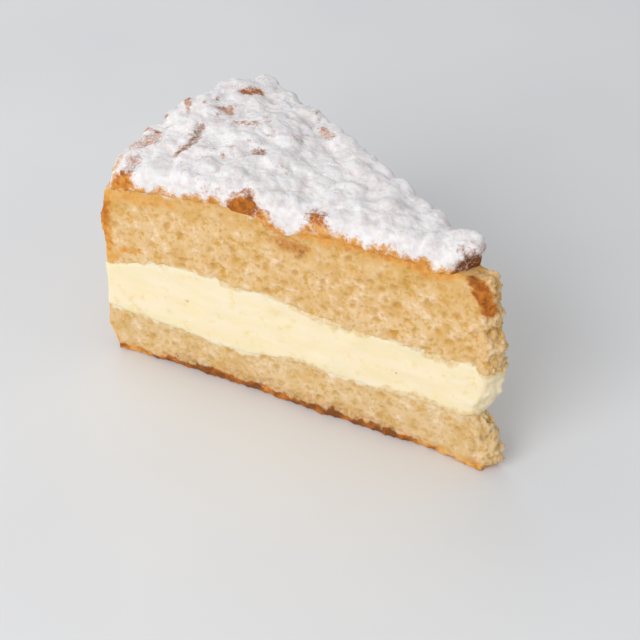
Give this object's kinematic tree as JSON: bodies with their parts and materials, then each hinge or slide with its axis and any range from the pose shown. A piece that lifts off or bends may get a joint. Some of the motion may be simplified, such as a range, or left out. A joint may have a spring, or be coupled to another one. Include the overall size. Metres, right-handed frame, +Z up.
{
  "type": "slice of layer cake",
  "caption": "Wedge of sponge layer cake with a thick cream filling and a sugar-dusted crumb topping, cut from a round cake and standing on its flat base.",
  "frame": {"origin": "middle of the box around the slice, at the height of the base it stands on", "axes": "+Z up; +X along the middle of the wedge from the rim of the cake to the tip; the cut face with the clearest layers looks towards -Y"},
  "size_m": [0.1229, 0.0649, 0.0704],
  "materials": {
    "sponge": "matt golden sponge, open and crumbly, browned at the rim and the base",
    "cream": "soft satin, pale yellow cream",
    "sugared_crumbs": "matt white icing sugar over baked brown crumbs"
  },
  "bodies": {
    "root": {"lower_sponge": "sponge", "cream_filling": "cream", "upper_sponge": "sponge", "crumb_topping": "sugared_crumbs"}
  },
  "joints": []
}
